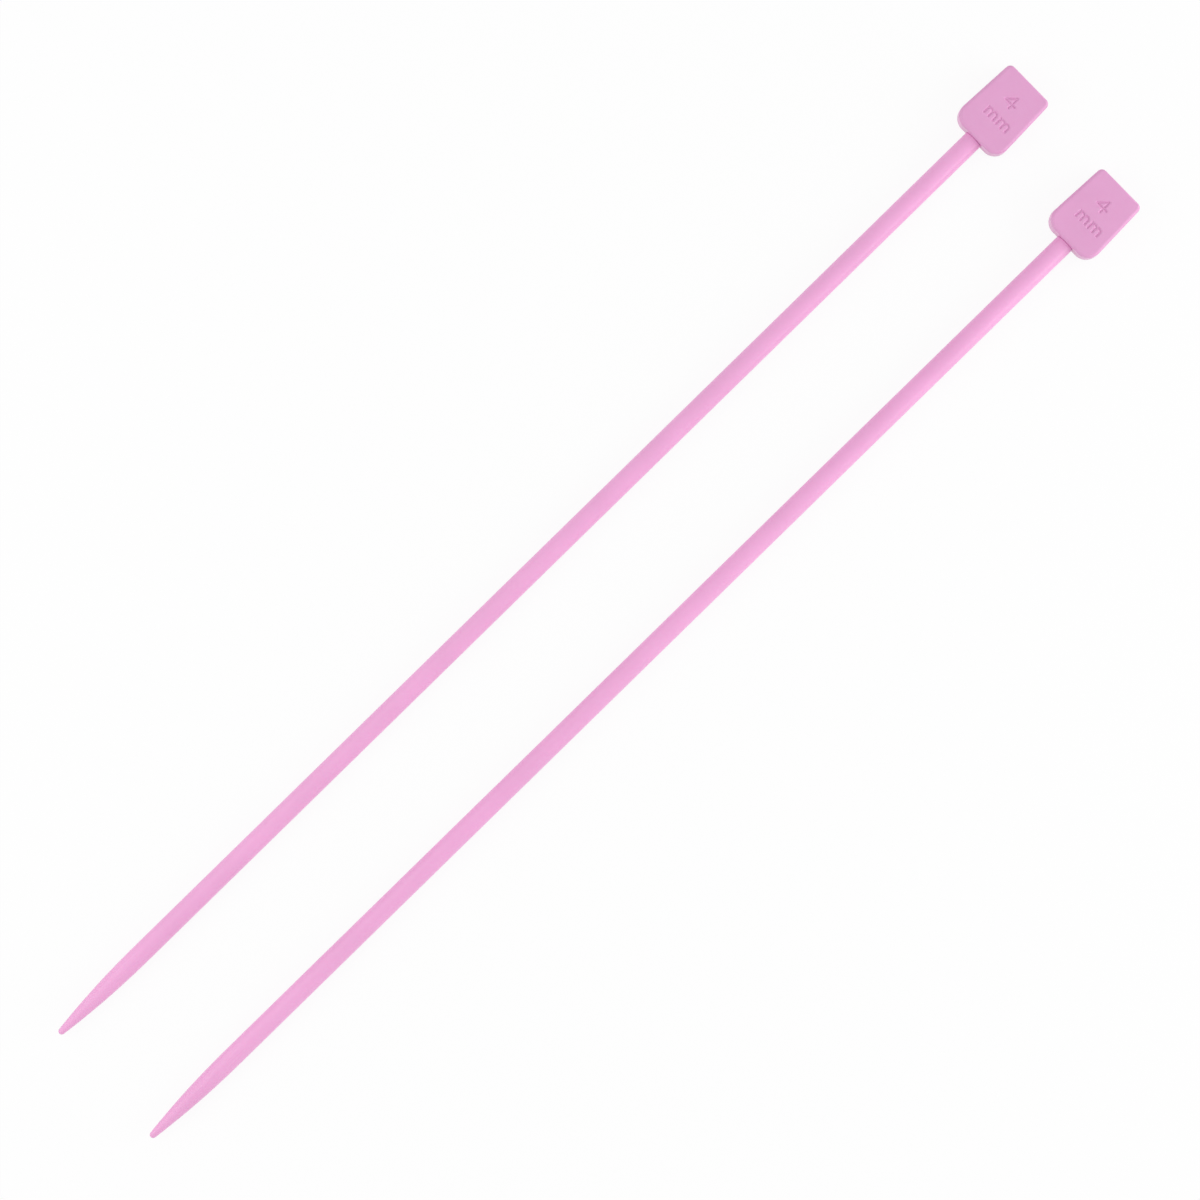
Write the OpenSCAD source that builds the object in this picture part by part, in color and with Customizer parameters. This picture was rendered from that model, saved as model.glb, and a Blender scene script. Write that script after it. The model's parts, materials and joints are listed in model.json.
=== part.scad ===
// A pair of straight knitting needles, lying side by side on a table.
//
// Each needle is a round plastic shank, ground to a blunt point at one end,
// with a flat tab-shaped head fixed on a spigot at the other.  The head stops
// the stitches from sliding off and carries the size mark on its upper face.
//
// Millimetres.  +Z is up and z = 0 is the table.  +X runs along the needles
// from the points to the heads, and +Y points to the left needle.  The origin
// is the middle of the pair's footprint.

/* [Shank] */
// Diameter of the shank, the needle's nominal size
shank_d = 4; // [2:0.25:8]
// Length from the point to the face of the head
shank_len = 254; // [150:1:400]
// Length over which the shank narrows to its point
point_len = 22.3; // [10:0.1:40]
// Radius of the rounded nose at the very point
nose_r = 0.68; // [0.3:0.02:0.9]

/* [Head] */
// Length of the head along the needle
head_len = 15.5; // [12:0.1:30]
// Width of the head where it meets the shank
neck_width = 12.3; // [10:0.1:24]
// Width of the head at its outer end
outer_width = 11.4; // [8:0.1:24]
// How far the head's faces stand above the shank where they meet it
neck_rise = 1.3; // [0.6:0.05:3]
// How far the head's faces stand above the shank at the outer end
outer_rise = 0.5; // [0.4:0.05:3]
// Corner radius beside the shank, seen from above
neck_corner_r = 2.9; // [1.4:0.1:4]
// Corner radius at the outer end, seen from above
outer_corner_r = 1.1; // [0.8:0.1:3]
// Rounding of the face's edge beside the shank
neck_edge_r = 0.7; // [0.2:0.05:1.2]
// Rounding of the face's edge at the outer end
outer_edge_r = 0.5; // [0.2:0.05:0.7]

/* [Spigot inside the head] */
// Depth of the shoulder that the head seats on
shoulder = 0.2; // [0.1:0.05:0.5]
// Length of the spigot inside the head
spigot_len = 9; // [4:0.5:10]
// Chamfer on the spigot's end
spigot_chamfer = 0.3; // [0.1:0.05:0.5]
// Radial clearance between the spigot and its socket
fit = 0.03; // [0.01:0.01:0.1]
// Depth left free beyond the spigot's end
socket_relief = 0.3; // [0.1:0.1:1]

/* [Pair] */
// Distance between the two shanks, centre to centre
spacing = 27.4; // [26:0.2:80]
// How far the right needle lies towards the points
stagger = 1.4; // [0:0.1:20]

/* [Hidden] */

shank_r = shank_d / 2;
spigot_r = shank_r - shoulder;
needle_len = shank_len + head_len;

// The point is one long arc, tangent to the shank's wall and to the round nose.
point_arc_r = (pow(point_len - nose_r, 2) + pow(shank_r, 2) - pow(nose_r, 2)) / (2 * (shank_r - nose_r));
nose_angle = -asin((point_len - nose_r) / (point_arc_r - nose_r));

// The head is a slight wedge: each face leans by this angle.
lean = atan((neck_rise - outer_rise) / head_len);

// A needle lies on its head, at whichever end of it reaches lower, and on the
// shank just behind the point, so its point is tipped down a little.
neck_drop = neck_rise - neck_edge_r * sin(lean);
neck_tilt = asin(neck_drop / (shank_len + neck_edge_r - point_len));
outer_tilt = asin(outer_rise / (needle_len - point_len));
rest_tilt = max(neck_tilt, outer_tilt);

// Centred on the origin, the pair reaches from the right point to the left head.
left_x = (stagger - needle_len) / 2;

pink = [0.93, 0.67, 0.85];
deep_pink = [0.9, 0.64, 0.82];
round_steps = 96;
edge_steps = 32;
arc_steps = 12;

// Points along an arc about a centre, from one angle to another.
function arc(centre, r, from, to) = [
    for (i = [0:arc_steps])
        let (angle = from + (to - from) * i / arc_steps)
            centre + r * [cos(angle), sin(angle)]
];

// The shank along +X, with the nose at the origin and the spigot past the
// shoulder at x = shank_len.
module shank() {
    spigot_end = shank_len + spigot_len;
    nose = arc([0, nose_r], nose_r, -90, nose_angle);
    point = arc([shank_r - point_arc_r, point_len], point_arc_r, nose_angle, 0);
    spigot = [
        [shank_r, shank_len],
        [spigot_r, shank_len],
        [spigot_r, spigot_end - spigot_chamfer],
        [spigot_r - spigot_chamfer, spigot_end],
        [0, spigot_end]
    ];
    rotate([0, 90, 0])
        rotate_extrude($fn = round_steps)
            polygon([each nose, each [for (i = [1:arc_steps]) point[i]], each spigot]);
}

// One rounded corner of a face: a disc as thick as its rounded top rim.
module corner_button(corner_r, edge_r) {
    rotate_extrude($fn = edge_steps) {
        square([corner_r - edge_r, edge_r]);
        intersection() {
            translate([corner_r - edge_r, 0]) circle(r = edge_r, $fn = edge_steps);
            square([corner_r, edge_r]);
        }
    }
}

// The two corners of a face at one distance along the head.
module corner_pair(along, width, corner_r, edge_r) {
    face_z = shank_r + neck_rise - along * tan(lean);
    for (side = [-1, 1])
        translate([along, side * (width / 2 - corner_r), face_z])
            rotate([0, lean, 0])
                translate([0, 0, -edge_r])
                    corner_button(corner_r, edge_r);
}

// All four corners of the upper face.
module face_corners() {
    neck_along = neck_corner_r * cos(lean) + neck_edge_r * sin(lean);
    outer_along = head_len - outer_corner_r * cos(lean) + outer_edge_r * sin(lean);
    corner_pair(neck_along, neck_width, neck_corner_r, neck_edge_r);
    corner_pair(outer_along, outer_width, outer_corner_r, outer_edge_r);
}

// The head along +X, with the face that seats on the shoulder at x = 0.
module head() {
    difference() {
        hull() {
            face_corners();
            mirror([0, 0, 1]) face_corners();
        }
        socket();
    }
}

// The blind hole for the spigot.
module socket() {
    overcut = 1;
    translate([-overcut, 0, 0])
        rotate([0, 90, 0])
            cylinder(r = spigot_r + fit, h = overcut + spigot_len + socket_relief, $fn = round_steps);
}

// Lays a needle down at its resting tilt, with its point at x = point_x.
module laid(point_x, across) {
    translate([point_x + point_len, across, shank_r])
        rotate([0, -rest_tilt, 0])
            translate([-point_len, 0, 0])
                children();
}

module at_left() {
    laid(left_x, spacing / 2) children();
}

module at_right() {
    laid(left_x - stagger, -spacing / 2) children();
}

module left_shank() {
    color(pink) at_left() shank();
}

module left_head() {
    color(deep_pink) at_left() translate([shank_len, 0, 0]) head();
}

module right_shank() {
    color(pink) at_right() shank();
}

module right_head() {
    color(deep_pink) at_right() translate([shank_len, 0, 0]) head();
}

left_shank();
left_head();
right_shank();
right_head();
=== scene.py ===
"""A pair of straight knitting needles in pink plastic, laid out on a white table."""

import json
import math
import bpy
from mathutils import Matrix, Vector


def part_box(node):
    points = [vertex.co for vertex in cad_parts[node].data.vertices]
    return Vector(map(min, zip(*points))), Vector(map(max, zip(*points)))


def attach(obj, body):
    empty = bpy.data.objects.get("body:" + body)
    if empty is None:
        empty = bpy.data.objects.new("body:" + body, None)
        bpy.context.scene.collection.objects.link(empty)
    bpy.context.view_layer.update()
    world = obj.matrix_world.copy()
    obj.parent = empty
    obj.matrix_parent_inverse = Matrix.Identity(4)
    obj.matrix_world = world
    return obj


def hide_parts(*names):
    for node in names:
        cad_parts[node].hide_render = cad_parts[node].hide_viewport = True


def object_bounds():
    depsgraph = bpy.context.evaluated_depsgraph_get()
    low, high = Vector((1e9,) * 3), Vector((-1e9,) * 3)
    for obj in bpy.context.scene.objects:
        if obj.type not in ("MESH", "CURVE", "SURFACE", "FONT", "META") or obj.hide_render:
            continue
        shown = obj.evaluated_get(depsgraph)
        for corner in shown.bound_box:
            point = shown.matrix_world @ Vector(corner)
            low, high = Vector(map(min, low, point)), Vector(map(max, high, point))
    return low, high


bl_info = {
    "name": "Straight Knitting Needles",
    "version": (1, 0, 0),
    "blender": (4, 5, 0),
    "location": "View3D > Sidebar > Needles",
    "description": "Makes a pair of straight knitting needles and the table they lie on",
    "category": "Add Mesh",
}

from typing import NamedTuple

import bmesh
import bpy
from bpy.props import FloatProperty, FloatVectorProperty, IntProperty, PointerProperty
from mathutils import Matrix, Vector

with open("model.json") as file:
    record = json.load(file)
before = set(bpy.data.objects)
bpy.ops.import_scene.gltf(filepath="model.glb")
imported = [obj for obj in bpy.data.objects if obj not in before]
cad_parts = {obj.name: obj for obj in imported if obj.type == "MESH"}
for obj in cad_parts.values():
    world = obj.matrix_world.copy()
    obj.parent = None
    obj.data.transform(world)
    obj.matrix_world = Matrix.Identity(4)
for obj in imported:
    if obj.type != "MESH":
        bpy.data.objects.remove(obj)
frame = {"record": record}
cad_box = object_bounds()

MM = 0.001
WELD = 0.001 * MM
SIDES = ("left", "right")
MOUNTS = {mount["name"]: mount for mount in frame["record"]["mounts"]}


# ---------------------------------------------------------------- the frame


def shank_wall(side):
    """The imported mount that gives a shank's axis, radius and straight length."""
    return MOUNTS[f"{side}_shank_wall"]


def wall_radius():
    """Radius of the straight wall."""
    return shank_wall("left")["dims"]["r_mm"] * MM


def wall_length():
    """Length of the straight wall, from the end of the taper to the head."""
    return shank_wall("left")["dims"]["length_mm"] * MM


def shank_axis(side):
    """Unit vector from a needle's point to its head."""
    return -Vector(shank_wall(side)["axis"]).normalized()


def point_length():
    """Length of the taper, from the point to where the straight wall starts."""
    low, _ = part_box("left_shank")
    return (shank_wall("left")["pos_m"][0] - low.x) / shank_axis("left").x


def head_size():
    """Size of the box round a head."""
    low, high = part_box("left_head")
    return high - low


def needle_place(side):
    """Matrix that lays a needle, built along +X from its point, where the frame has it."""
    along = shank_axis(side)
    across = Vector((0, 0, 1)).cross(along).normalized()
    up = along.cross(across)
    turn = Matrix((along, across, up)).transposed().to_4x4()
    point = Vector(shank_wall(side)["pos_m"]) - along * point_length()
    return Matrix.Translation(point) @ turn


# ---------------------------------------------------------------- settings


def length_property(name, description, default):
    """A length in metres."""
    return FloatProperty(
        name=name, description=description, default=default, min=0, precision=5,
        unit="LENGTH", subtype="DISTANCE",
    )


def share_property(name, description, default):
    """A share from 0 to 1."""
    return FloatProperty(
        name=name, description=description, default=default, min=0, max=1, subtype="FACTOR"
    )


def colour_property(name, description, default):
    """A colour in linear light."""
    return FloatVectorProperty(
        name=name, description=description, default=default, min=0, max=1, size=3, subtype="COLOR"
    )


class ShankSizes(bpy.types.PropertyGroup):
    """Sizes of the round shanks"""

    radius: length_property("Radius", "Half the needle's nominal size", wall_radius())
    taper: length_property("Taper", "Length over which the shank narrows", point_length())
    straight: length_property("Straight", "Length of the straight wall", wall_length())
    nose: length_property("Nose", "Radius of the rounded nose at the point", 0.68 * MM)
    shoulder: length_property("Shoulder", "Depth of the step that seats the head", 0.2 * MM)
    spigot: length_property("Spigot", "Length of the spigot inside the head", 9 * MM)
    chamfer: length_property("Chamfer", "Chamfer on the spigot's end", 0.3 * MM)
    seat_chamfer: length_property("Seat chamfer", "Chamfer on the wall's end", 0.12 * MM)
    steps: IntProperty(name="Steps", description="Facets round the shank", default=128, min=16)


class HeadSizes(bpy.types.PropertyGroup):
    """Sizes of the flat heads"""

    length: length_property("Length", "Length of the head along the needle", 15.5 * MM)
    neck_width: length_property("Neck width", "Width beside the shank", head_size().y)
    outer_width: length_property("Outer width", "Width at the outer end", 11.4 * MM)
    neck_rise: length_property("Neck rise", "Face above the shank, beside it", 1.3 * MM)
    outer_rise: length_property("Outer rise", "Face above the shank, at the end", 0.5 * MM)
    neck_corner: length_property("Neck corner", "Corner radius beside the shank", 2.9 * MM)
    outer_corner: length_property("Outer corner", "Corner radius at the end", 1.1 * MM)
    neck_rim: length_property("Neck rim", "Rounding of the rim beside the shank", 0.7 * MM)
    side_rim: length_property("Side rim", "Rounding of the rim along the sides", 0.75 * MM)
    outer_rim: length_property("Outer rim", "Rounding of the rim at the end", 0.3 * MM)
    socket_fit: length_property("Socket fit", "Clearance round the spigot", 0.03 * MM)
    socket_relief: length_property("Socket relief", "Depth past the spigot", 0.3 * MM)


class MarkSizes(bpy.types.PropertyGroup):
    """Sizes of the engraved size mark, a numeral over its unit"""

    numeral_height: length_property("Numeral height", "Height of the numeral", 2.65 * MM)
    numeral_base: length_property("Numeral base", "Its foot, from the neck", 8.95 * MM)
    numeral_stem: length_property("Numeral stem", "Its stem, right of the middle", 0.42 * MM)
    letter_height: length_property("Letter height", "Height of the letters", 1.5 * MM)
    letter_base: length_property("Letter base", "Their foot, from the neck", 5.0 * MM)
    letter_gap: length_property("Letter gap", "Room between the two letters", 0.92 * MM)
    letter_shift: length_property("Letter shift", "Right of the middle", 0.43 * MM)
    stem_pitch: length_property("Stem pitch", "Distance from stem to stem", 1.21 * MM)
    stroke: length_property("Stroke", "Width of the strokes", 0.3 * MM)
    depth: length_property("Depth", "Depth of the strokes", 0.34 * MM)
    slope: length_property("Slope", "Width of a stroke's sloping wall", 0.48 * MM)
    margin: length_property("Margin", "Fine mesh round the strokes", 0.5 * MM)
    cell: length_property("Cell", "Size of the fine mesh", 0.04 * MM)


class PlasticFinish(bpy.types.PropertyGroup):
    """Colour and finish of the plastic"""

    shank_colour: colour_property("Shank colour", "Colour of the shanks", (0.84, 0.394, 0.676))
    head_colour: colour_property("Head colour", "Colour of the heads", (0.735, 0.35, 0.598))
    mottle: share_property("Mottle", "How far the colour strays from even", 0.025)
    shank_roughness: share_property("Shank roughness", "Roughness of the shanks", 0.34)
    point_roughness: share_property("Point roughness", "Roughness of the points", 0.26)
    head_roughness: share_property("Head roughness", "Roughness of the heads", 0.36)
    grain: length_property("Grain", "Height of the moulded grain", 0.004 * MM)


class StageSetting(bpy.types.PropertyGroup):
    """Table, light and camera"""

    table_size: length_property("Table size", "Width and depth of the table", 6)
    table_colour: colour_property("Table colour", "Colour of the table", (0.9, 0.9, 0.9))
    table_glow: share_property("Table glow", "How far the table is seen as plain white", 0.9)
    surround: FloatProperty(
        name="Surround", description="Strength of the light from all round", default=0.72, min=0
    )
    head_light: FloatProperty(
        name="Head light", description="Softbox beyond the heads' right side", default=1.1,
        min=0, subtype="POWER", unit="POWER",
    )
    point_light: FloatProperty(
        name="Point light", description="High softbox beyond the points' left side",
        default=0.43, min=0, subtype="POWER", unit="POWER",
    )
    rim_light: FloatProperty(
        name="Rim light", description="Low softbox beyond the points' left side",
        default=0.22, min=0, subtype="POWER", unit="POWER",
    )
    camera_height: length_property("Camera height", "Camera above the table", 1)
    view_width: length_property("View width", "Width of table that is seen", 0.23893)
    view_turn: FloatProperty(
        name="View turn", description="Angle at which the needles rise to the right",
        default=math.radians(44.36), subtype="ANGLE", unit="ROTATION",
    )
    view_right: length_property("View right", "View's middle, right of the pair's", 2.02 * MM)
    view_above: length_property("View above", "View's middle, above the pair's", 2.23 * MM)


class NeedleSettings(bpy.types.PropertyGroup):
    """All the settings of the pair"""

    shank: PointerProperty(type=ShankSizes)
    head: PointerProperty(type=HeadSizes)
    mark: PointerProperty(type=MarkSizes)
    plastic: PointerProperty(type=PlasticFinish)
    stage: PointerProperty(type=StageSetting)


# ---------------------------------------------------------------- shading

# Noise keeps near one half and seldom leaves this range.
NOISE_LOW, NOISE_HIGH = 0.3, 0.7


def add_node(tree, kind, values=None, **settings):
    """Adds a node, sets its settings, and sets or links its inputs by name or number."""
    node = tree.nodes.new(kind)
    for name, value in settings.items():
        setattr(node, name, value)
    for name, value in (values or {}).items():
        if isinstance(value, bpy.types.NodeSocket):
            tree.links.new(value, node.inputs[name])
        else:
            node.inputs[name].default_value = value
    return node


def new_material(name):
    """A material with an empty node tree, and the tree."""
    material = bpy.data.materials.new(name)
    material.use_nodes = True
    material.node_tree.nodes.clear()
    return material, material.node_tree


def noise(tree, scale, detail, stretch=(1, 1, 1)):
    """Noise over the piece in metres: scale is how many features fit in one metre."""
    place = add_node(tree, "ShaderNodeTexCoord").outputs["Object"]
    mapping = add_node(tree, "ShaderNodeMapping", {"Vector": place, "Scale": stretch})
    texture = add_node(
        tree, "ShaderNodeTexNoise",
        {"Vector": mapping.outputs["Vector"], "Scale": scale, "Detail": detail},
    )
    return texture.outputs["Fac"]


def ranged(tree, value, start, end, low, high, ease="LINEAR"):
    """Turns the range from start to end into the range from low to high."""
    node = add_node(
        tree, "ShaderNodeMapRange",
        {"Value": value, "From Min": start, "From Max": end, "To Min": low, "To Max": high},
        interpolation_type=ease,
    )
    return node.outputs["Result"]


def noise_ranged(tree, texture, low, high):
    """Spreads a noise over the range from low to high."""
    return ranged(tree, texture, NOISE_LOW, NOISE_HIGH, low, high)


def math_node(tree, operation, first, second):
    """The result of one operation on two values or sockets."""
    node = add_node(tree, "ShaderNodeMath", {0: first, 1: second}, operation=operation)
    return node.outputs["Value"]


def mottled_colour(tree, colour, mottle):
    """A plastic's colour, a little paler and deeper in wide soft patches."""
    patches = noise(tree, scale=90, detail=3)
    strength = noise_ranged(tree, patches, 1 - mottle, 1 + mottle)
    scaled = add_node(
        tree, "ShaderNodeVectorMath", {0: tuple(colour), "Scale": strength}, operation="SCALE"
    )
    return scaled.outputs["Vector"]


def bumped(tree, heights):
    """Surface normal after a chain of bumps, each a height texture and its depth in metres."""
    normal = None
    for height, depth in heights:
        values = {"Height": height, "Strength": 1, "Distance": depth}
        if normal is not None:
            values["Normal"] = normal
        normal = add_node(tree, "ShaderNodeBump", values).outputs["Normal"]
    return normal


def plastic_shader(tree, colour, roughness, normal):
    """Opaque plastic that light enters a little way."""
    shader = add_node(
        tree, "ShaderNodeBsdfPrincipled",
        {
            "Base Color": colour,
            "Roughness": roughness,
            "Normal": normal,
            "IOR": 1.5,
            "Subsurface Weight": 0.15,
            "Subsurface Radius": (1, 0.6, 0.8),
            "Subsurface Scale": 0.3 * MM,
        },
    )
    add_node(tree, "ShaderNodeOutputMaterial", {"Surface": shader.outputs["BSDF"]})


def point_polish(tree, finish):
    """Roughness along the shanks, from the smooth points to the satin walls.  Both needles
    share it, because their tapers end almost side by side."""
    place = add_node(tree, "ShaderNodeTexCoord").outputs["Object"]
    along = add_node(tree, "ShaderNodeSeparateXYZ", {"Vector": place}).outputs["X"]
    taper_end = shank_wall("left")["pos_m"][0]
    polish_end = taper_end - 4 * MM
    satin_start = taper_end + 6 * MM
    return ranged(
        tree, along, polish_end, satin_start, finish.point_roughness, finish.shank_roughness,
        ease="SMOOTHSTEP",
    )


def shank_plastic(settings):
    """Drawn rod: faint lines along it, and a smoother ground point."""
    material, tree = new_material("shank_plastic")
    finish = settings.plastic
    lines = noise(tree, scale=2400, detail=2, stretch=(0.02, 1, 1))
    grain = noise(tree, scale=5200, detail=2)
    spread = 0.12
    strength = noise_ranged(tree, lines, 1 - spread, 1 + spread)
    roughness = math_node(tree, "MULTIPLY", point_polish(tree, finish), strength)
    line_depth = finish.grain * 0.5
    grain_depth = finish.grain * 0.1
    normal = bumped(tree, ((lines, line_depth), (grain, grain_depth)))
    colour = mottled_colour(tree, finish.shank_colour, finish.mottle)
    plastic_shader(tree, colour, roughness, normal)
    return material


def head_plastic(settings):
    """Moulded tab: an even fine grain, with wider waves from the mould."""
    material, tree = new_material("head_plastic")
    finish = settings.plastic
    grain = noise(tree, scale=6500, detail=3)
    waves = noise(tree, scale=420, detail=2)
    spread = finish.head_roughness * 0.1
    roughness = noise_ranged(
        tree, grain, finish.head_roughness - spread, finish.head_roughness + spread
    )
    wave_depth = finish.grain * 2
    normal = bumped(tree, ((grain, finish.grain), (waves, wave_depth)))
    colour = mottled_colour(tree, finish.head_colour, finish.mottle)
    plastic_shader(tree, colour, roughness, normal)
    return material


# ---------------------------------------------------------------- modelling


def mark_sharp(bm, angle):
    """Keeps edges crisp where two faces meet at more than an angle."""
    for edge in bm.edges:
        if len(edge.link_faces) == 2 and edge.calc_face_angle() > angle:
            edge.smooth = False


def shade_smooth(bm):
    """Lets shading run smoothly from face to face."""
    for face in bm.faces:
        face.smooth = True


def close_up(bm):
    """Merges doubles, turns every face outwards and shades it smooth."""
    bmesh.ops.remove_doubles(bm, verts=bm.verts, dist=WELD)
    bmesh.ops.recalc_face_normals(bm, faces=bm.faces)
    shade_smooth(bm)


def new_piece(name, bm, material):
    """Makes an object at the origin from a bmesh."""
    mesh = bpy.data.meshes.new(name)
    bm.to_mesh(mesh)
    bm.free()
    mesh.materials.append(material)
    piece = bpy.data.objects.new(name, mesh)
    bpy.context.scene.collection.objects.link(piece)
    return piece


def declare(piece, side, part):
    """Tells the frame what a finished piece rides on and replaces."""
    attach(piece, f"{side}_needle")
    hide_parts(f"{side}_{part}")


def draw_to(bm, last, place):
    """Draws an outline on to a new place, and gives the new vertex and edge."""
    drawn = bmesh.ops.extrude_vert_indiv(bm, verts=[last])
    vertex = drawn["verts"][0]
    vertex.co = place
    return vertex, drawn["edges"][0]


def swing_to(bm, last, middle, axis, angle, steps):
    """Draws an outline on along an arc, and gives the last vertex."""
    swung = bmesh.ops.spin(
        bm, geom=[last], cent=middle, axis=axis, dvec=(0, 0, 0), angle=angle, steps=steps
    )
    return next(item for item in swung["geom_last"] if isinstance(item, bmesh.types.BMVert))


def taper_arc(shank):
    """Radius of the long arc that runs from the nose to the wall, and its angle."""
    run = shank.taper - shank.nose
    drop = shank.radius - shank.nose
    radius = (run**2 + shank.radius**2 - shank.nose**2) / (2 * drop)
    return radius, math.asin(run / (radius - shank.nose))


def shank_outline(bm, shank):
    """Half outline of the shank, from its point to the end of the spigot."""
    arc_radius, arc_angle = taper_arc(shank)
    neck = shank.taper + shank.straight
    spigot_radius = shank.radius - shank.shoulder
    spigot_end = neck + shank.spigot
    sideways = (0, 1, 0)
    nose_middle = (shank.nose, 0, 0)
    nose_steps = 16
    arc_middle = (shank.taper, 0, shank.radius - arc_radius)
    arc_steps = 32
    last = bm.verts.new((0, 0, 0))
    last = swing_to(bm, last, nose_middle, sideways, math.pi / 2 - arc_angle, nose_steps)
    last = swing_to(bm, last, arc_middle, sideways, arc_angle, arc_steps)
    last, wall = draw_to(bm, last, (neck - shank.seat_chamfer, 0, shank.radius))
    for x, z in (
        (neck, shank.radius - shank.seat_chamfer),
        (neck, spigot_radius),
        (spigot_end - shank.chamfer, spigot_radius),
        (spigot_end, spigot_radius - shank.chamfer),
        (spigot_end, 0),
    ):
        last, _ = draw_to(bm, last, (x, 0, z))
    ring_gap = 4 * MM
    bmesh.ops.subdivide_edges(bm, edges=[wall], cuts=round(shank.straight / ring_gap) - 1)


def shank_mesh(shank):
    """The turned shank along +X, with its point at the origin."""
    bm = bmesh.new()
    shank_outline(bm, shank)
    bmesh.ops.spin(
        bm, geom=bm.verts[:] + bm.edges[:], cent=(0, 0, 0), axis=(1, 0, 0), dvec=(0, 0, 0),
        angle=2 * math.pi, steps=shank.steps, use_merge=True, use_duplicate=False,
    )
    close_up(bm)
    mark_sharp(bm, angle=math.radians(30))
    return bm


def corner_middles(head):
    """Middles of the left corner arcs seen from above, beside the shank and at the end."""
    neck = Vector((head.neck_corner, head.neck_width / 2 - head.neck_corner))
    outer = Vector((head.length - head.outer_corner, head.outer_width / 2 - head.outer_corner))
    return neck, outer


def side_angle(head):
    """Direction that the left side faces, seen from above."""
    neck, outer = corner_middles(head)
    run = outer - neck
    narrowing = math.asin((head.neck_corner - head.outer_corner) / run.length)
    return math.pi / 2 + math.atan2(run.y, run.x) - narrowing


def head_outline(bm, head):
    """Draws the head's outline seen from above, corner by corner."""
    neck, outer = corner_middles(head)
    side = side_angle(head)
    outer_steps = 12
    neck_steps = 20
    first = last = None
    for middle, hand, radius, start, sweep, steps in (
        (outer, -1, head.outer_corner, -side, side, outer_steps),
        (outer, 1, head.outer_corner, 0, side, outer_steps),
        (neck, 1, head.neck_corner, side, math.pi - side, neck_steps),
        (neck, -1, head.neck_corner, math.pi, math.pi - side, neck_steps),
    ):
        centre = Vector((middle.x, middle.y * hand, 0))
        place = centre + Vector((math.cos(start), math.sin(start), 0)) * radius
        if first is None:
            first = last = bm.verts.new(place)
        else:
            last, _ = draw_to(bm, last, place)
        last = swing_to(bm, last, centre, (0, 0, 1), sweep, steps)
    bmesh.ops.contextual_create(bm, geom=[last, first])


def face_height(head, shank_radius, x):
    """Height of the upper face above the shank's axis, at a distance from the neck."""
    rise = head.neck_rise + (head.outer_rise - head.neck_rise) * x / head.length
    return shank_radius + rise


def rim_radius(head, outward):
    """Rounding of the rim above a wall that faces outward."""
    end = head.outer_rim if outward.x > 0 else head.neck_rim
    return head.side_rim + (end - head.side_rim) * (1 - abs(outward.y))


def rim_place(head, shank_radius, place, angle):
    """Where the rim passes above a place, from the wall's top at 0 to the face at a right angle."""
    neck, outer = corner_middles(head)
    beside_shank = place.x < head.length / 2
    middle, corner = (neck, head.neck_corner) if beside_shank else (outer, head.outer_corner)
    centre = Vector((middle.x, math.copysign(middle.y, place.y)))
    outward = (place.xy - centre).normalized()
    edge = centre + outward * corner
    rounding = rim_radius(head, outward)
    moved = edge - outward * rounding * (1 - math.cos(angle))
    height = face_height(head, shank_radius, moved.x) - rounding * (1 - math.sin(angle))
    return moved.x, moved.y, height


def head_block(head, shank_radius):
    """The solid head, raised from its outline to its rounded rims and mirrored below."""
    bm = bmesh.new()
    head_outline(bm, head)
    ring = bm.edges[:]
    rim_steps = 10
    for step in range(rim_steps + 1):
        raised = bmesh.ops.extrude_edge_only(bm, edges=ring)["geom"]
        corners = [item for item in raised if isinstance(item, bmesh.types.BMVert)]
        for vertex in corners:
            angle = math.pi / 2 * step / rim_steps
            vertex.co = rim_place(head, shank_radius, vertex.co, angle)
        ring = [
            item for item in raised
            if isinstance(item, bmesh.types.BMEdge) and all(v in corners for v in item.verts)
        ]
    bmesh.ops.edgeloop_fill(bm, edges=ring)
    bmesh.ops.mirror(
        bm, geom=bm.verts[:] + bm.edges[:] + bm.faces[:], merge_dist=WELD, axis="Z"
    )
    level = [edge for edge in bm.edges if all(abs(v.co.z) < WELD for v in edge.verts)]
    bmesh.ops.dissolve_edges(bm, edges=level, use_verts=True)
    bmesh.ops.recalc_face_normals(bm, faces=bm.faces)
    return bm


def broad_faces(bm):
    """The flat faces above, below, on both sides and at both ends, inside the roundings."""
    return sorted(bm.faces, key=lambda face: face.calc_area(), reverse=True)[:6]


def broadest_face(bm, direction):
    """The largest of the faces that look in a direction."""
    looking = [face for face in bm.faces if face.normal.dot(direction) > 0.9]
    return max(looking, key=lambda face: face.calc_area())


def squared_to_round(across, up):
    """Turns a place on the edge of a square, from -1 to 1 each way, into one on a circle."""
    if abs(across) > abs(up):
        angle = math.pi / 4 * up / across
        return Vector((math.cos(angle), math.sin(angle))) * math.copysign(1, across)
    angle = math.pi / 4 * across / up
    return Vector((math.sin(angle), math.cos(angle))) * math.copysign(1, up)


def cut_socket(bm, radius, depth):
    """Insets the neck face, rounds what is left of it and sinks it as the spigot's socket."""
    face = broadest_face(bm, Vector((-1, 0, 0)))
    half_width = max(vertex.co.y for vertex in face.verts)
    half_height = max(vertex.co.z for vertex in face.verts)
    socket_sides = 64
    bmesh.ops.subdivide_edges(bm, edges=face.edges[:], cuts=socket_sides // 4 - 1)
    inset = 0.01 * MM
    bmesh.ops.inset_individual(bm, faces=[face], thickness=inset, use_even_offset=True)
    for vertex in face.verts:
        across = vertex.co.y / (half_width - inset)
        up = vertex.co.z / (half_height - inset)
        vertex.co.yz = squared_to_round(across, up) * radius
    sunk = bmesh.ops.extrude_discrete_faces(bm, faces=[face])["faces"][0]
    bmesh.ops.translate(bm, verts=sunk.verts[:], vec=(depth, 0, 0))


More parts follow.
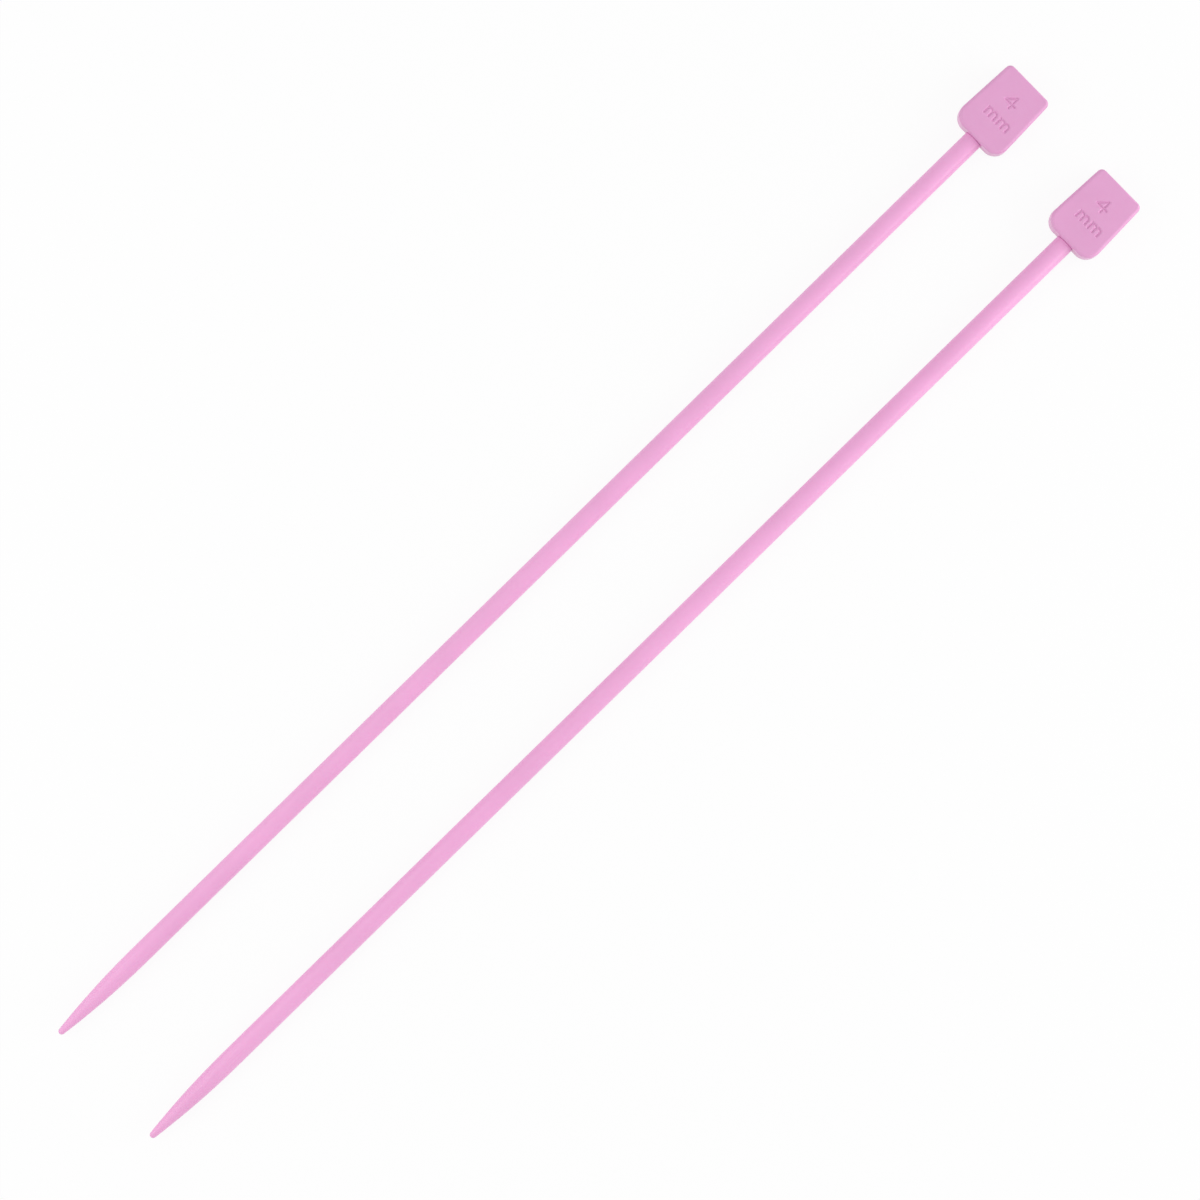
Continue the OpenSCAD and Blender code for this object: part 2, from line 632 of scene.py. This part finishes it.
def mark_strokes(mark):
    """The numeral's and the letters' strokes: straight ones as two ends, arches as a middle
    and a radius.  A place is (to the right, towards the outer end) from the neck's middle."""
    foot = Vector((mark.numeral_stem, mark.numeral_base))
    apex = foot + Vector((0, mark.numeral_height))
    bar_height = mark.numeral_height * 0.35
    left_reach = mark.numeral_height * 0.68
    right_reach = mark.numeral_height * 0.29
    bar_left = foot + Vector((-left_reach, bar_height))
    bar_right = foot + Vector((right_reach, bar_height))
    lines = [(foot, apex), (apex, bar_left), (bar_left, bar_right)]
    arches = []
    span = mark.stem_pitch
    arch = span / 2
    half_word = 2 * span + mark.letter_gap / 2
    for start in (-half_word, mark.letter_gap / 2):
        left = Vector((mark.letter_shift + start, mark.letter_base))
        lines.append((left, left + Vector((0, mark.letter_height))))
        for stem in (1, 2):
            base = left + Vector((stem * span, 0))
            shoulder = base + Vector((0, mark.letter_height - arch))
            lines.append((base, shoulder))
            arches.append((shoulder - Vector((arch, 0)), arch))
    return lines, arches


def line_distance(place, start, end):
    """Distance to a straight stroke."""
    run = end - start
    share = min(max((place - start).dot(run) / run.length_squared, 0), 1)
    return (place - start - run * share).length


def arch_distance(place, middle, radius):
    """Distance to the upper half of a circle."""
    offset = place - middle
    if offset.y < 0:
        return (Vector((abs(offset.x), offset.y)) - Vector((radius, 0))).length
    return abs(offset.length - radius)


def stroke_depth(mark, distance):
    """How deep the engraving is at a distance from the middle of a stroke."""
    share = (mark.stroke / 2 + mark.slope / 2 - distance) / mark.slope
    share = min(max(share, 0), 1)
    return mark.depth * share * share * (3 - 2 * share)


def mark_panel(mark, lines, arches):
    """Lowest and highest corner of the strokes with their margin."""
    ends = [end for line in lines for end in line]
    for middle, radius in arches:
        ends += [middle + Vector((-radius, radius)), middle + Vector((radius, radius))]
    room = mark.stroke / 2 + mark.margin
    low = Vector((min(e.x for e in ends) - room, min(e.y for e in ends) - room))
    high = Vector((max(e.x for e in ends) + room, max(e.y for e in ends) + room))
    return low, high


def cut_panel(bm, low, high):
    """Cuts a rectangle out of the upper face and gives it back as one face."""
    faces = [broadest_face(bm, Vector((0, 0, 1)))]
    cuts = (
        ((low.y, 0, 0), (1, 0, 0)),
        ((high.y, 0, 0), (1, 0, 0)),
        ((0, -low.x, 0), (0, 1, 0)),
        ((0, -high.x, 0), (0, 1, 0)),
    )
    for place, normal in cuts:
        edges = list(dict.fromkeys(edge for face in faces for edge in face.edges))
        corners = list(dict.fromkeys(vertex for face in faces for vertex in face.verts))
        cut = bmesh.ops.bisect_plane(
            bm, geom=faces + edges + corners, dist=WELD, plane_co=place, plane_no=normal
        )
        faces = [item for item in cut["geom"] if isinstance(item, bmesh.types.BMFace)]
    middle = Vector(((low.y + high.y) / 2, -(low.x + high.x) / 2))
    return min(faces, key=lambda face: (face.calc_center_median().xy - middle).length)


def engrave_mark(bm, mark):
    """Presses the size mark into the upper face."""
    lines, arches = mark_strokes(mark)
    low, high = mark_panel(mark, lines, arches)
    panel = cut_panel(bm, low, high)
    normal = panel.normal.copy()
    cuts = round((high - low).y / mark.cell) - 1
    fine = bmesh.ops.subdivide_edges(bm, edges=panel.edges[:], cuts=cuts, use_grid_fill=True)
    for item in fine["geom_inner"]:
        if isinstance(item, bmesh.types.BMVert):
            place = Vector((-item.co.y, item.co.x))
            distances = [line_distance(place, *line) for line in lines]
            distances += [arch_distance(place, *arch) for arch in arches]
            item.co -= normal * stroke_depth(mark, min(distances))


def split_wide_faces(bm):
    """Splits faces of more than four corners into well-shaped triangles."""
    wide = [face for face in bm.faces if len(face.verts) > 4]
    bmesh.ops.triangulate(bm, faces=wide, ngon_method="BEAUTY")


def head_mesh(settings):
    """The moulded head along +X, with its neck face at x = 0."""
    head = settings.head
    shank = settings.shank
    bm = head_block(head, shank.radius)
    border = 0.05 * MM
    bmesh.ops.inset_individual(bm, faces=broad_faces(bm), thickness=border, use_even_offset=True)
    socket_radius = shank.radius - shank.shoulder + head.socket_fit
    socket_depth = shank.spigot + head.socket_relief
    cut_socket(bm, socket_radius, socket_depth)
    close_up(bm)
    mark_sharp(bm, angle=math.radians(40))
    engrave_mark(bm, settings.mark)
    split_wide_faces(bm)
    shade_smooth(bm)
    return bm


# ---------------------------------------------------------------- operators


class NEEDLES_OT_shanks(bpy.types.Operator):
    """Makes both shanks, each turned in one piece from its point to its spigot"""

    bl_idname = "needles.shanks"
    bl_label = "Make Shanks"

    def execute(self, context):
        settings = context.scene.needles
        material = shank_plastic(settings)
        for side in SIDES:
            bm = shank_mesh(settings.shank)
            bm.transform(needle_place(side))
            piece = new_piece(f"{side}_needle_shank", bm, material)
            declare(piece, side, "shank")
        return {"FINISHED"}


class NEEDLES_OT_heads(bpy.types.Operator):
    """Makes both heads, each a rounded tab with a socket in its neck and a size mark on top"""

    bl_idname = "needles.heads"
    bl_label = "Make Heads"

    def execute(self, context):
        settings = context.scene.needles
        material = head_plastic(settings)
        neck = settings.shank.taper + settings.shank.straight
        for side in SIDES:
            bm = head_mesh(settings)
            bm.transform(needle_place(side) @ Matrix.Translation((neck, 0, 0)))
            piece = new_piece(f"{side}_needle_head", bm, material)
            declare(piece, side, "head")
        return {"FINISHED"}


def seen_directly(tree):
    """1 for rays that show a surface to the eye, in a mirror or through glass, else 0."""
    path = add_node(tree, "ShaderNodeLightPath")
    seen = path.outputs["Is Camera Ray"]
    for name in ("Is Glossy Ray", "Is Transmission Ray"):
        seen = math_node(tree, "MAXIMUM", seen, path.outputs[name])
    return seen


def table_material(stage):
    """White board that is seen as plain white but keeps a soft shadow."""
    material, tree = new_material("white_table")
    colour = (*stage.table_colour, 1)
    board = add_node(tree, "ShaderNodeBsdfDiffuse", {"Color": colour})
    glow = add_node(tree, "ShaderNodeEmission", {"Color": (1, 1, 1, 1), "Strength": 1})
    share = math_node(tree, "MULTIPLY", seen_directly(tree), stage.table_glow)
    mix = add_node(
        tree, "ShaderNodeMixShader",
        {0: share, 1: board.outputs["BSDF"], 2: glow.outputs["Emission"]},
    )
    add_node(tree, "ShaderNodeOutputMaterial", {"Surface": mix.outputs["Shader"]})
    return material


def make_table(stage):
    """The flat board that the needles lie on."""
    bm = bmesh.new()
    bmesh.ops.create_grid(bm, x_segments=1, y_segments=1, size=stage.table_size / 2)
    bmesh.ops.translate(bm, verts=bm.verts, vec=(0, 0, cad_box[0].z))
    table = new_piece("table", bm, table_material(stage))


def make_surround(scene, stage):
    """Even white light from all round, seen as plain white."""
    world = bpy.data.worlds.new("surround")
    world.use_nodes = True
    tree = world.node_tree
    tree.nodes.clear()
    strength = ranged(tree, seen_directly(tree), 0, 1, stage.surround, 1)
    background = add_node(
        tree, "ShaderNodeBackground", {"Color": (1, 1, 1, 1), "Strength": strength}
    )
    add_node(tree, "ShaderNodeOutputWorld", {"Surface": background.outputs["Background"]})
    scene.world = world


class Softbox(NamedTuple):
    """A rectangular lamp: its place and the place it faces, its width and height, all in
    metres, and the setting that holds its power"""

    place: tuple
    target: tuple
    width: float
    height: float
    power: str


SOFTBOXES = {
    "head_softbox": Softbox(
        place=(0.332, -0.326, 0.165), target=(0.03, 0, 0), width=0.5, height=0.3,
        power="head_light",
    ),
    "point_softbox": Softbox(
        place=(-0.207, 0.202, 0.345), target=(0, 0, 0), width=0.5, height=0.3,
        power="point_light",
    ),
    "rim_softbox": Softbox(
        place=(-0.302, 0.296, 0.154), target=(0, 0, 0), width=0.5, height=0.25,
        power="rim_light",
    ),
}


def add_softbox(scene, stage, name, box):
    """Hangs a softbox in its place and turns it to what it faces."""
    lamp = bpy.data.lights.new(name, "AREA")
    lamp.shape = "RECTANGLE"
    lamp.size = box.width
    lamp.size_y = box.height
    lamp.energy = getattr(stage, box.power)
    softbox = bpy.data.objects.new(name, lamp)
    softbox.location = box.place
    away = Vector(box.place) - Vector(box.target)
    softbox.rotation_euler = away.to_track_quat("Z", "Y").to_euler()
    softbox.visible_camera = False
    scene.collection.objects.link(softbox)


def add_camera(scene, stage):
    """Looks straight down on the pair, turned so that the needles rise to the right."""
    data = bpy.data.cameras.new("camera")
    data.lens = data.sensor_width * stage.camera_height / stage.view_width
    camera = bpy.data.objects.new("camera", data)
    turn = stage.view_turn
    right = Vector((math.cos(turn), -math.sin(turn), 0))
    above = Vector((math.sin(turn), math.cos(turn), 0))
    low, high = cad_box
    middle = Vector(((low.x + high.x) / 2, (low.y + high.y) / 2, low.z))
    camera.location = middle + right * stage.view_right + above * stage.view_above
    camera.location.z += stage.camera_height
    camera.rotation_euler = (0, 0, -turn)
    scene.collection.objects.link(camera)
    scene.camera = camera


class NEEDLES_OT_stage(bpy.types.Operator):
    """Makes the white table, the lights and the camera"""

    bl_idname = "needles.stage"
    bl_label = "Make Stage"

    def execute(self, context):
        scene = context.scene
        stage = scene.needles.stage
        scene.view_settings.view_transform = "Standard"
        make_table(stage)
        make_surround(scene, stage)
        for name, box in SOFTBOXES.items():
            add_softbox(scene, stage, name, box)
        add_camera(scene, stage)
        return {"FINISHED"}


class NEEDLES_PT_panel(bpy.types.Panel):
    """Lists the steps that make the needles and their stage"""

    bl_idname = "NEEDLES_PT_panel"
    bl_label = "Straight Knitting Needles"
    bl_space_type = "VIEW_3D"
    bl_region_type = "UI"
    bl_category = "Needles"

    def draw(self, context):
        settings = context.scene.needles
        for name in ("shank", "head", "mark", "plastic", "stage"):
            box = self.layout.box()
            box.label(text=name.title())
            group = getattr(settings, name)
            for prop in group.bl_rna.properties:
                if prop.identifier not in ("rna_type", "name"):
                    box.prop(group, prop.identifier)
        for operator in OPERATORS:
            self.layout.operator(operator.bl_idname)


GROUPS = (ShankSizes, HeadSizes, MarkSizes, PlasticFinish, StageSetting, NeedleSettings)
OPERATORS = (NEEDLES_OT_shanks, NEEDLES_OT_heads, NEEDLES_OT_stage)
CLASSES = (*GROUPS, *OPERATORS, NEEDLES_PT_panel)


def register():
    for cls in CLASSES:
        bpy.utils.register_class(cls)
    bpy.types.Scene.needles = PointerProperty(type=NeedleSettings)


def unregister():
    del bpy.types.Scene.needles
    for cls in reversed(CLASSES):
        bpy.utils.unregister_class(cls)


def main():
    register()
    bpy.ops.needles.shanks()
    bpy.ops.needles.heads()
    bpy.ops.needles.stage()


if __name__ == "__main__":
    main()
